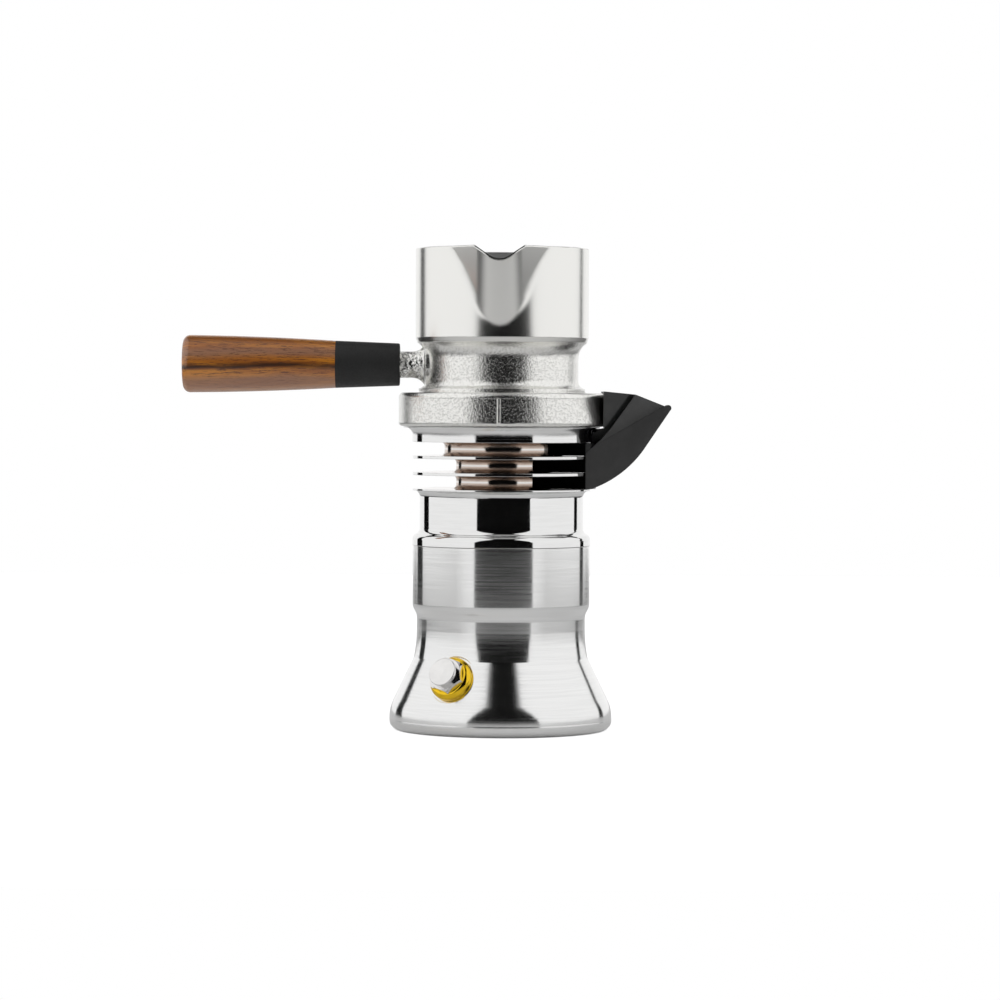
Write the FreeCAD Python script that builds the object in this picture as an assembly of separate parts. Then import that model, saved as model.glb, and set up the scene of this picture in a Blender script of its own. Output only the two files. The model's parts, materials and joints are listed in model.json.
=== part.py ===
import FreeCAD, Part
import math
import os

Vector = FreeCAD.Vector

# Stovetop espresso maker, millimetres. Z is up, and the origin is on the boiler's axis
# at the face that it stands on. The handle points along -X, the grip along +X and the
# spout along -Y.

# Fits and gaps
thread_clearance = 0.06
push_clearance = 0.03
slide_clearance = 0.08
moving_gap = 0.3
face_gap = 0.05

# Cutters run past the face that they open, and a cutting block covers any piece
overcut = 1.0
cutting_block = 300.0

# Lower boiler
boiler_height = 78.7
boiler_wall = 3.0
boiler_floor = 4.0
foot_radius = 47.6
foot_round_height = 4.9
foot_round_width = 3.1
foot_bulge = 0.35
shoulder_radius = 45.9
shoulder_height = 12.8
crease_radius = 37.2
crease_height = 31.0
waist_radius = 36.0
waist_height = 43.0
waist_top_height = 47.7
belt_radius = 37.9
belt_height = 54.0
mouth_radius = 33.0
mouth_depth = 12.0
mouth_step = 1.8
inner_crease_drop = 0.6
seal_radius = 34.9
seal_thickness = 2.3
seam_gap = 0.2

# Upper body
spigot_length = 10.2
spigot_wall = 1.95
lip_height = 2.5
neck_radius = 35.05
neck_base_height = 7.4
neck_height = 20.8
disc_edge = 0.7
disc_height = 24.4
neck_roof = 4.6
roof_round = 2.0
disc_lip = 0.6
fin_radius = 38.1
fin_thickness = 1.2
fin_gap = 5.85
fin_count = 2
root_radius = 19.5
upper_root_radius = 24.5
root_fillet = 1.9
ring_radius = 38.3
ring_height = 3.6
shelf_radius = 42.0
shelf_height = 2.9
shelf_edge = 0.35
jacket_floor = 1.7
drum_radius = 38.1
drum_wall = 2.2
drum_height = 9.2
lug_count = 3
lug_angle = 40.0
lug_thickness = 3.0

# Riser and brew valve
riser_radius = 3.0
riser_wall = 0.7
riser_floor_gap = 4.0
riser_top_depth = 7.3
valve_bore_radius = 6.5
valve_bore_depth = 16.7
water_hole_radius = 2.3
valve_seat_height = 2.5
poppet_radius = 4.0
poppet_height = 3.0
poppet_nose = 1.2
poppet_nose_radius = 1.2
poppet_stem_radius = 1.2
poppet_stem_guide = 1.8
brew_valve_lift = 1.5
brew_spring_radius = 2.6
brew_spring_wire = 0.7
brew_spring_turns = 4.0
brew_spring_spare = 1.2
cap_boss_radius = 5.2
cap_boss_height = 4.5
cap_bore_radius = 1.7

# Water jacket, liner and coil
liner_radius = 30.2
liner_wall = 1.2
liner_flange = 1.2
liner_seal_thickness = 0.8
coil_tube_radius = 1.8
coil_tube_bore = 1.1
coil_bend_radius = 2.4
coil_floor_gap = 0.7
coil_start_angle = 172.0
coil_end_angle = 138.0
coil_drop_angle = 163.0
coil_outlet_overhang = 2.5

# Brew chamber
screen_thickness = 0.6
screen_height = 5.4
screen_hole_radius = 1.2
screen_hole_pitch = 9.0
screen_hole_rings = 2
screen_slot_depth = 4.0
basket_radius = 29.8
basket_wall = 0.6
basket_floor_gap = 0.3
basket_rim_radius = 34.0
basket_rim = 1.0
basket_hole_radius = 0.8
basket_hole_pitch = 7.6
basket_hole_rings = 3

# Jug
collar_radius = 44.1
collar_height = 14.3
collar_round = 1.6
collar_top_width = 1.3
collar_top_drop = 2.6
collar_bore_radius = 41.3
collar_roof = 2.4
jug_lug_height = 3.5
gasket_inner_radius = 28.6
gasket_radius = 35.0
gasket_thickness = 2.0
upper_screen_radius = 30.4
jug_neck_radius = 32.7
jug_neck_foot_radius = 35.6
jug_neck_foot_height = 1.7
jug_neck_base_height = 5.8
jug_neck_top_height = 14.95
jug_neck_wall = 3.0
cup_foot_radius = 36.35
cup_foot_height = 21.45
cup_taper_height = 2.0
cup_radius = 37.0
cup_wall = 2.5
cup_height = 61.55
jug_floor_height = 7.9
cone_radius = 27.6
jug_floor = 2.4
jug_floor_round = 3.0
spout_azimuth = -91.7
spout_reach = 10.9
spout_depth = 33.6
spout_root = 2.0
spout_nose_radius = 12.65
spout_cheek_angle = 48.0
spout_cheek_length = 28.0
spout_blend = 8.0
rim_round = 0.5
notch_depth = 5.7
notch_round = 7.5
notch_flank_angle = 35.0
ridge_width = 1.6
ridge_rise = 0.25
outlet_radius = 5.2
outlet_tip_radius = 4.0
outlet_bore_radius = 2.8
outlet_height = 24.0
outlet_cap_radius = 5.6
outlet_cap_height = 5.5
outlet_cap_wall = 1.2
outlet_cap_overlap = 2.75
outlet_hole_radius = 0.9

# Handle
handle_axis_height = 11.9
stem_radius = 5.65
stem_reach = 43.7
stem_root_reach = 30.2
stem_flare_start = 32.4
stem_flare_reach = 38.5
stem_flare_radius = 11.6
ferrule_radius = 9.1
ferrule_end_radius = 10.1
ferrule_length = 27.4
ferrule_round = 0.7
wood_length = 65.2
wood_middle_radius = 11.45
wood_middle_reach = 27.4
wood_end_radius = 12.27
wood_round = 3.0
stud_radius = 3.0
stud_length = 62.0
stud_engagement = 8.0
stud_end_gap = 0.5
insert_radius = 4.5
insert_length = 24.0

# Grip and funnel
grip_wall = 2.0
grip_half_width = 15.2
tongue_half_width = 14.5
grip_reach = 72.3
keel_belly_reach = 51.1
keel_belly_height = 7.3
keel_knee_reach = 61.4
keel_knee_height = 18.4
nose_height = 34.8
nose_bead_radius = 1.3
nose_half_width = 6.2
nose_start_angle = -45.0
nose_middle_angle = 50.0
nose_end_angle = 150.0
rim_reach = 56.4
rim_half_width = 22.0
rim_height = 40.5
rim_back_height = 41.6
crease_outer_reach = 64.6
crease_outer_height = 33.0
crease_inner_reach = 44.0
crease_inner_height = 21.4
edge_foot_reach = 35.0
edge_foot_height = 14.9
edge_neck_reach = 42.0
edge_neck_height = 21.2
edge_shoulder_reach = 46.5
edge_shoulder_height = 26.5
cheek_step = 2.2
cheek_end_reach = 43.0
groove_width = 2.4
groove_depth = 3.4
funnel_cheek_wall = 1.5
funnel_lip_wall = 1.0
funnel_floor_rise = 11.4
filler_radius = 2.0
filler_bore = 1.3
filler_height = 3.9
filler_tube_stub = 1.2
filler_tube_entry = 0.4
filler_seal_length = 1.5
filler_seal_radius = 3.4
grip_screw_radius = 1.5
grip_screw_head_radius = 2.75
grip_screw_head_height = 2.0
grip_screw_length = 25.0
grip_screw_engagement = 6.5
grip_screw_spread = 8.0

# Safety valve
safety_valve_height = 23.6
safety_valve_azimuth = -120.0
seat_radius = 10.4
seat_depth = 0.6
seat_boss_depth = 5.0
washer_radius = 9.5
washer_bore_radius = 5.3
washer_thickness = 4.2
washer_foot_round = 0.8
washer_round = 2.4
valve_thread_radius = 5.0
valve_thread_length = 8.0
hexagon_flats = 14.0
hexagon_height = 3.1
hexagon_chamfer = 0.55
hexagon_turn = 15.0
relief_bore_radius = 2.2
relief_seat_depth = 3.0
relief_chamber_radius = 3.6
relief_poppet_head = 1.6
relief_poppet_nose = 0.8
relief_nose_radius = 1.5
relief_valve_lift = 1.0
relief_spring_radius = 2.5
relief_spring_wire = 0.8
relief_spring_turns = 4.5
safety_cap_radius = 6.1
safety_cap_height = 2.6
safety_cap_edge = 0.4
safety_cap_thread_radius = 4.6
safety_cap_thread_length = 2.0
safety_cap_wall = 1.1
vent_radius = 0.6
vent_rise = 0.1
vent_angle = 150.0

# Levels along the axis
seam_height = boiler_height + seam_gap
disc_top = boiler_height + disc_height
ring_bottom = disc_top + (fin_count + 1) * fin_gap + fin_count * fin_thickness
chamber_floor = ring_bottom + jacket_floor
shelf_top = ring_bottom + ring_height + shelf_height
collar_bottom = shelf_top + seam_gap
drum_top = shelf_top + drum_height
flange_bottom = drum_top + liner_seal_thickness
flange_top = flange_bottom + liner_flange
rim_top = flange_top + basket_rim
gasket_bottom = rim_top + face_gap
gasket_top = gasket_bottom + gasket_thickness
collar_top = collar_bottom + collar_height
cup_top = collar_top + cup_height
neck_roof_height = disc_top - neck_roof - disc_edge
riser_top = neck_roof_height + riser_top_depth
valve_floor = chamber_floor - valve_bore_depth
brew_spring_solid = (brew_spring_turns + 1) * brew_spring_wire
poppet_top = valve_floor + valve_seat_height + poppet_height
cap_bottom = poppet_top + brew_spring_solid + brew_valve_lift + brew_spring_spare
lug_bottom = drum_top - lug_thickness
coil_level = chamber_floor + coil_floor_gap + coil_tube_radius
coil_upper_level = coil_level + 2 * coil_bend_radius
jacket_radius = drum_radius - drum_wall
coil_radius = (liner_radius + liner_wall + jacket_radius) / 2
jug_floor_top = collar_top + jug_floor_height
handle_height = collar_top + handle_axis_height
filler_level = ring_bottom + filler_height
funnel_wall_radius = collar_radius + 2 * moving_gap
filler_tube_end = funnel_wall_radius + grip_wall + filler_tube_stub
grip_screw_level = disc_top + fin_gap / 2
grip_screw_tip = root_radius - grip_screw_engagement
grip_screw_seat = grip_screw_tip + grip_screw_length


def revolved(start, steps):
    # Solid of revolution about Z. Points are (radius, height). A step of one point is a
    # straight edge, and a step of two is an arc through the first to the second.
    edges = []
    here = Vector(start[0], 0, start[1])
    first = here
    for step in steps:
        if isinstance(step[0], tuple):
            middle = Vector(step[0][0], 0, step[0][1])
            there = Vector(step[1][0], 0, step[1][1])
            edges.append(Part.Arc(here, middle, there).toShape())
        else:
            there = Vector(step[0], 0, step[1])
            edges.append(Part.LineSegment(here, there).toShape())
        here = there
    edges.append(Part.LineSegment(here, first).toShape())
    return Part.Face(Part.Wire(edges)).revolve(Vector(0, 0, 0), Vector(0, 0, 1), 360)


def cylinder(radius, bottom, top):
    return Part.makeCylinder(radius, top - bottom, Vector(0, 0, bottom))


def tube(outer, inner, bottom, top):
    return cylinder(outer, bottom, top).cut(cylinder(inner, bottom, top))


def along_x(radius, start, end, y, z):
    return Part.makeCylinder(radius, end - start, Vector(start, y, z), Vector(1, 0, 0))


def fillet_step(corner_in, corner, corner_out):
    # Arc that rounds a corner from one point to the next, as a quarter of an ellipse.
    middle_r = corner[0] + (corner_in[0] + corner_out[0] - 2 * corner[0]) * (1 - math.sqrt(0.5))
    middle_z = corner[1] + (corner_in[1] + corner_out[1] - 2 * corner[1]) * (1 - math.sqrt(0.5))
    return ((middle_r, middle_z), corner_out)


def wave(start, end):
    # Two equal arcs that leave and arrive along the axis, as where a neck meets a belt.
    width = (end[0] - start[0]) / 2
    height = (end[1] - start[1]) / 2
    turn = 2 * math.atan2(abs(width), abs(height))
    radius = abs(height) / math.sin(turn)
    side = math.copysign(radius * (1 - math.cos(turn / 2)), width)
    rise = math.copysign(radius * math.sin(turn / 2), height)
    middle = (start[0] + width, start[1] + height)
    return [((start[0] + side, start[1] + rise), middle),
            ((end[0] - side, end[1] - rise), end)]


def upright_arc_middle(upright, other):
    # Middle of an arc that runs along the axis at its upright end, as a cone into a waist.
    across = other[0] - upright[0]
    along = other[1] - upright[1]
    radius = (across ** 2 + along ** 2) / (2 * abs(across))
    turn = math.asin(abs(along) / radius)
    return (upright[0] + math.copysign(radius * (1 - math.cos(turn / 2)), across),
            upright[1] + math.copysign(radius * math.sin(turn / 2), along))


def sector(inner, outer, bottom, top, centre_angle, width_angle):
    corners = [Vector(inner, 0, bottom), Vector(outer, 0, bottom),
               Vector(outer, 0, top), Vector(inner, 0, top)]
    face = Part.Face(Part.makePolygon(corners + corners[:1]))
    face.rotate(Vector(0, 0, 0), Vector(0, 0, 1), centre_angle - width_angle / 2)
    return face.revolve(Vector(0, 0, 0), Vector(0, 0, 1), width_angle)


def half_space(point, outward):
    # Block that fills the side of a plane that its normal points to.
    half = cutting_block / 2
    block = Part.makeBox(cutting_block, cutting_block, cutting_block, Vector(-half, -half, 0))
    block.Placement = FreeCAD.Placement(point, FreeCAD.Rotation(Vector(0, 0, 1), outward))
    return block


def coil_spring(radius, wire_diameter, turns, bottom, top):
    # Each half turn is a tilted half circle, which leaves and arrives level.
    half_turns = round(2 * turns)
    rise = (top - bottom - wire_diameter) / half_turns
    level = bottom + wire_diameter / 2
    bulge = math.hypot(radius, rise / 2)
    edges = []
    for step in range(half_turns):
        side = 1 - 2 * (step % 2)
        edges.append(Part.Arc(Vector(side * radius, 0, level),
                              Vector(0, side * bulge, level + rise / 2),
                              Vector(-side * radius, 0, level + rise)).toShape())
        level += rise
    section = Part.Wire(Part.makeCircle(wire_diameter / 2, edges[0].Vertexes[0].Point,
                                        Vector(0, 1, 0)))
    return Part.Wire(edges).makePipeShell([section], True, False)


def hole_ring(radius, bottom, top, rings, pitch):
    # Holes on circles, six more on each circle outwards.
    holes = [cylinder(radius, bottom, top)]
    for ring in range(1, rings + 1):
        for step in range(6 * ring):
            angle = 2 * math.pi * step / (6 * ring)
            hole = cylinder(radius, bottom, top)
            hole.translate(Vector(ring * pitch * math.cos(angle), ring * pitch * math.sin(angle), 0))
            holes.append(hole)
    return Part.makeCompound(holes)


def hexagon_prism(flats, bottom, top):
    corner = flats / math.sqrt(3)
    points = []
    for step in range(7):
        angle = math.radians(60 * step)
        points.append(Vector(corner * math.cos(angle), corner * math.sin(angle), bottom))
    return Part.Face(Part.makePolygon(points)).extrude(Vector(0, 0, top - bottom))


def valve_axis():
    slope = math.atan2(shoulder_radius - crease_radius, crease_height - shoulder_height)
    azimuth = math.radians(safety_valve_azimuth)
    level = math.cos(slope)
    return Vector(level * math.cos(azimuth), level * math.sin(azimuth), math.sin(slope))


def valve_seat_point():
    # Point on the seat face, where the valve's axis leaves the boiler.
    share = (safety_valve_height - shoulder_height) / (crease_height - shoulder_height)
    radius = shoulder_radius + share * (crease_radius - shoulder_radius)
    azimuth = math.radians(safety_valve_azimuth)
    surface = Vector(radius * math.cos(azimuth), radius * math.sin(azimuth), safety_valve_height)
    return surface - valve_axis() * seat_depth


def on_valve_axis(shape):
    # Takes a piece built along Z from the seat face to its place on the boiler.
    sideways = Vector(0, 0, 1).cross(valve_axis())
    sideways.normalize()
    upwards = valve_axis().cross(sideways)
    turn = FreeCAD.Rotation(upwards, sideways * -1, valve_axis(), "ZXY")
    placed = shape.copy()
    placed.Placement = FreeCAD.Placement(valve_seat_point(), turn).multiply(shape.Placement)
    return placed


def lower_boiler():
    outer = revolved((0, 0), [
        (foot_radius - foot_round_width, 0),
        fillet_step((foot_radius - foot_round_width, 0), (foot_radius, 0),
                    (foot_radius, foot_round_height)),
        ((foot_radius - foot_bulge, (foot_round_height + shoulder_height) / 2),
         (shoulder_radius, shoulder_height)),
        (crease_radius, crease_height),
        (upright_arc_middle((waist_radius, waist_height), (crease_radius, crease_height)),
         (waist_radius, waist_height)),
        (waist_radius, waist_top_height),
        *wave((waist_radius, waist_top_height), (belt_radius, belt_height)),
        (belt_radius, boiler_height),
        (0, boiler_height)])
    inside_waist = waist_radius - boiler_wall
    inner_round = foot_round_height
    inner = revolved((0, boiler_floor), [
        (foot_radius - boiler_wall - inner_round, boiler_floor),
        fillet_step((foot_radius - boiler_wall - inner_round, boiler_floor),
                    (foot_radius - boiler_wall, boiler_floor),
                    (foot_radius - boiler_wall, boiler_floor + inner_round)),
        (shoulder_radius - boiler_wall, shoulder_height),
        (crease_radius - boiler_wall, crease_height - inner_crease_drop),
        (inside_waist, crease_height + boiler_wall),
        (inside_waist, boiler_height - mouth_depth - mouth_step),
        (mouth_radius, boiler_height - mouth_depth),
        (mouth_radius, boiler_height + overcut),
        (0, boiler_height + overcut)])
    boss = on_valve_axis(cylinder(seat_radius, -seat_boss_depth, 0))
    body = outer.fuse(boss.common(outer)).cut(inner).fuse(boss.common(outer))
    body = body.cut(on_valve_axis(cylinder(seat_radius, 0, seat_radius)))
    body = body.cut(on_valve_axis(cylinder(valve_thread_radius + push_clearance,
                                           -3 * seat_boss_depth, seat_radius)))
    seal_groove = cylinder(seal_radius + push_clearance, boiler_height + seam_gap
                           - seal_thickness, boiler_height + overcut)
    return body.cut(seal_groove).removeSplitter()


def boiler_seal_ring():
    return tube(seal_radius, mouth_radius + push_clearance,
                seam_height - seal_thickness, seam_height)


def safety_valve_washer():
    foot = washer_radius - washer_foot_round
    top = washer_radius - washer_round
    shoulder = washer_thickness - washer_round
    ring = revolved((washer_bore_radius, 0), [
        (foot, 0),
        fillet_step((foot, 0), (washer_radius, 0), (washer_radius, washer_foot_round)),
        (washer_radius, shoulder),
        fillet_step((washer_radius, shoulder), (washer_radius, washer_thickness),
                    (top, washer_thickness)),
        (washer_bore_radius, washer_thickness)])
    return on_valve_axis(ring)


def safety_valve_body():
    hexagon_top = washer_thickness + hexagon_height
    corner = hexagon_flats / math.sqrt(3)
    nut = hexagon_prism(hexagon_flats, washer_thickness, hexagon_top)
    dome = revolved((0, washer_thickness), [
        (corner, washer_thickness),
        (corner, hexagon_top - hexagon_chamfer),
        (hexagon_flats / 2, hexagon_top),
        (0, hexagon_top)])
    body = nut.common(dome)
    body = body.fuse(cylinder(valve_thread_radius, -valve_thread_length, washer_thickness))
    relief_seat = -relief_seat_depth
    body = body.cut(cylinder(relief_bore_radius, -valve_thread_length, hexagon_top))
    body = body.cut(cylinder(relief_chamber_radius, relief_seat, hexagon_top))
    body = body.cut(cylinder(safety_cap_thread_radius + push_clearance,
                             hexagon_top - safety_cap_thread_length, hexagon_top))
    vent = along_x(vent_radius, 0, corner, 0, washer_thickness + vent_rise + vent_radius)
    vent.rotate(Vector(0, 0, 0), Vector(0, 0, 1), vent_angle)
    body = body.cut(vent)
    body.rotate(Vector(0, 0, 0), Vector(0, 0, 1), hexagon_turn)
    return on_valve_axis(body)


def safety_valve_cap():
    bottom = washer_thickness + hexagon_height
    top = bottom + safety_cap_height
    edge = safety_cap_radius - safety_cap_edge
    head = revolved((0, bottom), [
        (safety_cap_radius, bottom),
        (safety_cap_radius, top - safety_cap_edge),
        fillet_step((safety_cap_radius, top - safety_cap_edge), (safety_cap_radius, top),
                    (edge, top)),
        (0, top)])
    thread = cylinder(safety_cap_thread_radius, bottom - safety_cap_thread_length, bottom)
    hollow = cylinder(relief_chamber_radius, bottom - safety_cap_thread_length,
                      top - safety_cap_wall)
    return on_valve_axis(head.fuse(thread).cut(hollow))


def relief_spring_ends():
    # Along the valve's axis: the poppet's head, and the inside of the cap's end.
    top = washer_thickness + hexagon_height + safety_cap_height - safety_cap_wall
    return relief_poppet_head - relief_seat_depth, top


def safety_valve_poppet():
    # The stem inside the spring stops at the cap, which limits the lift.
    seat = -relief_seat_depth
    nose = relief_bore_radius - push_clearance
    head = relief_chamber_radius - moving_gap
    stem = relief_spring_radius - relief_spring_wire / 2 - moving_gap
    head_top, cap_end = relief_spring_ends()
    stem_top = cap_end - relief_valve_lift - face_gap
    poppet = revolved((0, seat - relief_poppet_nose), [
        (relief_nose_radius, seat - relief_poppet_nose),
        (nose, seat),
        (nose, seat + face_gap),
        (head, seat + face_gap),
        (head, head_top),
        (stem, head_top),
        (stem, stem_top),
        (0, stem_top)])
    return on_valve_axis(poppet)


def safety_valve_spring():
    bottom, top = relief_spring_ends()
    return on_valve_axis(coil_spring(relief_spring_radius, relief_spring_wire,
                                     relief_spring_turns, bottom, top - face_gap))


def upper_body():
    spigot_bottom = boiler_height - spigot_length
    spigot_radius = mouth_radius - thread_clearance
    bore = spigot_radius - spigot_wall
    lip_top = seam_height + lip_height
    neck_bottom = boiler_height + neck_base_height
    neck_top = boiler_height + neck_height
    flare_top = disc_top - disc_edge
    steps = [
        (bore - roof_round, neck_roof_height),
        fillet_step((bore - roof_round, neck_roof_height), (bore, neck_roof_height),
                    (bore, neck_roof_height - roof_round)),
        (bore, spigot_bottom),
        (spigot_radius, spigot_bottom),
        (spigot_radius, seam_height),
        (fin_radius, seam_height),
        (fin_radius, lip_top),
        *wave((fin_radius, lip_top), (neck_radius, neck_bottom)),
        (neck_radius, neck_top),
        fillet_step((neck_radius, neck_top), (neck_radius, flare_top),
                    (fin_radius - disc_lip, flare_top)),
        (fin_radius, flare_top),
        (fin_radius, disc_top)]
    level = disc_top
    for gap in range(fin_count + 1):
        root = upper_root_radius if gap == fin_count else root_radius
        top = level + fin_gap
        steps.append((root + root_fillet, level))
        steps.append(fillet_step((root + root_fillet, level), (root, level),
                                 (root, level + root_fillet)))
        steps.append((root, top - root_fillet))
        steps.append(fillet_step((root, top - root_fillet), (root, top),
                                 (root + root_fillet, top)))
        if gap < fin_count:
            steps.append((fin_radius, top))
            steps.append((fin_radius, top + fin_thickness))
        level = top + fin_thickness
    ring_top = ring_bottom + ring_height
    shelf_bottom = shelf_top - shelf_edge
    steps += [
        (ring_radius, ring_bottom),
        (ring_radius, ring_top),
        fillet_step((ring_radius, ring_top), (ring_radius, shelf_bottom),
                    (shelf_radius, shelf_bottom)),
        (shelf_radius, shelf_top),
        (drum_radius, shelf_top),
        (drum_radius, drum_top),
        (jacket_radius, drum_top),
        (jacket_radius, chamber_floor),
        (0, chamber_floor)]
    body = revolved((0, neck_roof_height), steps)
    lug_radius = collar_bore_radius - moving_gap
    for lug in range(lug_count):
        body = body.fuse(sector(drum_radius - drum_wall / 2, lug_radius, lug_bottom, drum_top,
                                360.0 * lug / lug_count, lug_angle))
    body = body.cut(cylinder(valve_bore_radius, valve_floor, chamber_floor))
    body = body.cut(cylinder(riser_radius + push_clearance, neck_roof_height, riser_top))
    body = body.cut(cylinder(water_hole_radius, riser_top, valve_floor))
    body = body.cut(along_x(filler_radius + push_clearance, jacket_radius - drum_wall,
                            shelf_radius, 0, filler_level))
    for side in (-1, 1):
        body = body.cut(along_x(grip_screw_radius + push_clearance, grip_screw_tip,
                                upper_root_radius, side * grip_screw_spread,
                                grip_screw_level))
    return body.removeSplitter()


def riser_tube():
    outer = tube(riser_radius, riser_radius - riser_wall, boiler_floor + riser_floor_gap,
                 riser_top)
    # The foot is cut on a slant, so that it can't seal itself against the floor.
    foot = boiler_floor + riser_floor_gap
    slant = half_space(Vector(0, 0, foot + riser_radius), Vector(1, 0, -1))
    return outer.cut(slant)


def brew_valve_seat():
    return tube(valve_bore_radius - push_clearance, water_hole_radius, valve_floor,
                valve_floor + valve_seat_height)


def brew_valve_poppet():
    seat = valve_floor + valve_seat_height
    nose = water_hole_radius - moving_gap
    stem_top = cap_bottom + poppet_stem_guide
    return revolved((0, seat - poppet_nose), [
        (poppet_nose_radius, seat - poppet_nose),
        (nose, seat + face_gap),
        (poppet_radius, seat + face_gap),
        (poppet_radius, poppet_top),
        (poppet_stem_radius, poppet_top),
        (poppet_stem_radius, stem_top),
        (0, stem_top)])


def brew_valve_spring():
    return coil_spring(brew_spring_radius, brew_spring_wire, brew_spring_turns,
                       poppet_top, cap_bottom - face_gap)


def brew_valve_cap():
    boss_top = chamber_floor + cap_boss_height
    cap = cylinder(valve_bore_radius - push_clearance, cap_bottom, chamber_floor)
    cap = cap.fuse(hexagon_prism(2 * cap_boss_radius, chamber_floor, boss_top))
    cap = cap.cut(cylinder(cap_bore_radius, cap_bottom, coil_level))
    side_bore = along_x(coil_tube_radius + push_clearance, cap_bore_radius,
                        2 * cap_boss_radius, 0, coil_level)
    side_bore = side_bore.fuse(along_x(coil_tube_bore, 0, 2 * cap_boss_radius, 0, coil_level))
    side_bore.rotate(Vector(0, 0, 0), Vector(0, 0, 1), coil_inlet_angle())
    return cap.cut(side_bore)


def polar(radius, angle, height):
    return Vector(radius * math.cos(math.radians(angle)), radius * math.sin(math.radians(angle)),
                  height)


def coil_inlet_turn():
    # Angle from the straight inlet leg to where its bend meets the coil's circle.
    return math.degrees(math.asin(coil_bend_radius / (coil_radius - coil_bend_radius)))


def coil_inlet_angle():
    return coil_start_angle - coil_inlet_turn()


def coil_path():
    # Out from the valve cap, once round the jacket, up, back round, down and in again.
    bend = coil_bend_radius
    leg = coil_inlet_angle()
    along = math.sqrt((coil_radius - bend) ** 2 - bend ** 2)
    across = polar(bend, leg + 90, 0)
    bend_centre = polar(along, leg, coil_level) + across
    start = polar(cap_bore_radius, leg, coil_level)
    leg_end = polar(along, leg, coil_level)
    bend_middle = bend_centre + polar(bend, (leg - 90 + coil_start_angle) / 2, 0)
    circle_start = polar(coil_radius, coil_start_angle, coil_level)
    last = coil_end_angle + 360
    circle_middle = polar(coil_radius, (coil_start_angle + last) / 2, coil_level)
    circle_end = polar(coil_radius, last, coil_level)
    turn_side = polar(bend, last + 90, bend)
    upper_start = circle_end + Vector(0, 0, 2 * bend)
    upper_middle = polar(coil_radius, (last + coil_drop_angle) / 2, coil_upper_level)
    upper_end = polar(coil_radius, coil_drop_angle, coil_upper_level)
    back = polar(bend, coil_drop_angle - 90, 0)
    short = bend * math.sqrt(0.5)
    drop_end = upper_end + back - Vector(0, 0, bend)
    drop_middle = upper_end + back * math.sqrt(0.5) - Vector(0, 0, bend - short)
    inward_angle = math.degrees(math.atan2(drop_end.y, drop_end.x))
    inward = polar(-1, inward_angle, 0)
    elbow_middle = drop_end + inward * (bend - short) - Vector(0, 0, short)
    elbow_end = drop_end + inward * bend - Vector(0, 0, bend)
    outlet = polar(liner_radius - coil_outlet_overhang, inward_angle, coil_level)
    return [
        Part.LineSegment(start, leg_end).toShape(),
        Part.Arc(leg_end, bend_middle, circle_start).toShape(),
        Part.Arc(circle_start, circle_middle, circle_end).toShape(),
        Part.Arc(circle_end, circle_end + turn_side, upper_start).toShape(),
        Part.Arc(upper_start, upper_middle, upper_end).toShape(),
        Part.Arc(upper_end, drop_middle, drop_end).toShape(),
        Part.Arc(drop_end, elbow_middle, elbow_end).toShape(),
        Part.LineSegment(elbow_end, outlet).toShape()]


def coil_sweep(radius):
    edges = coil_path()
    start = edges[0].Vertexes[0].Point
    direction = edges[0].Vertexes[-1].Point - start
    section = Part.Wire(Part.makeCircle(radius, start, direction))
    return Part.Wire(edges).makePipeShell([section], True, False)


def heat_exchanger_coil():
    return coil_sweep(coil_tube_radius).cut(coil_sweep(coil_tube_bore))


def coil_outlet_angle():
    drop = coil_path()[5].Vertexes[-1].Point
    return math.degrees(math.atan2(drop.y, drop.x))


def coil_passages(radius, inner, outer):
    # Radial holes for the two ends of the coil.
    holes = []
    for angle in (coil_inlet_angle(), coil_outlet_angle()):
        hole = along_x(radius, inner, outer, 0, coil_level)
        hole.rotate(Vector(0, 0, 0), Vector(0, 0, 1), angle)
        holes.append(hole)
    return Part.makeCompound(holes)


def brew_chamber_liner():
    outer = liner_radius + liner_wall
    liner = tube(outer, liner_radius, chamber_floor, flange_top)
    flange = tube(drum_radius - push_clearance, liner_radius, flange_bottom, flange_top)
    passages = coil_passages(coil_tube_radius + 2 * push_clearance, liner_radius - overcut,
                             outer + overcut)
    return liner.fuse(flange).cut(passages)


def liner_seal():
    return tube(drum_radius - push_clearance, liner_radius + liner_wall + push_clearance,
                drum_top, flange_bottom)


def lower_shower_screen():
    outer = liner_radius - slide_clearance
    top = chamber_floor + screen_height
    pan = cylinder(outer, chamber_floor, top)
    pan = pan.cut(cylinder(outer - screen_thickness, chamber_floor, top - screen_thickness))
    pan = pan.cut(coil_passages(coil_tube_radius + 2 * slide_clearance,
                                outer - screen_slot_depth, outer + overcut))
    return pan.cut(hole_ring(screen_hole_radius, top - 2 * screen_thickness, top + overcut,
                             screen_hole_rings, screen_hole_pitch))


def filter_basket():
    bottom = chamber_floor + screen_height + basket_floor_gap
    basket = cylinder(basket_radius, bottom, rim_top)
    basket = basket.fuse(cylinder(basket_rim_radius, flange_top, rim_top))
    basket = basket.cut(cylinder(basket_radius - basket_wall, bottom + basket_wall, rim_top))
    return basket.cut(hole_ring(basket_hole_radius, bottom - overcut, bottom + overcut,
                                basket_hole_rings, basket_hole_pitch))


def filler_tube():
    start = jacket_radius - filler_tube_entry
    return along_x(filler_radius, start, filler_tube_end, 0, filler_level).cut(
        along_x(filler_bore, start, filler_tube_end, 0, filler_level))


def filler_seal():
    end = funnel_wall_radius + grip_wall
    ring = along_x(filler_seal_radius, end - filler_seal_length, end, 0, filler_level)
    return ring.cut(along_x(filler_radius + push_clearance, funnel_wall_radius, end, 0,
                            filler_level))


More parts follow.
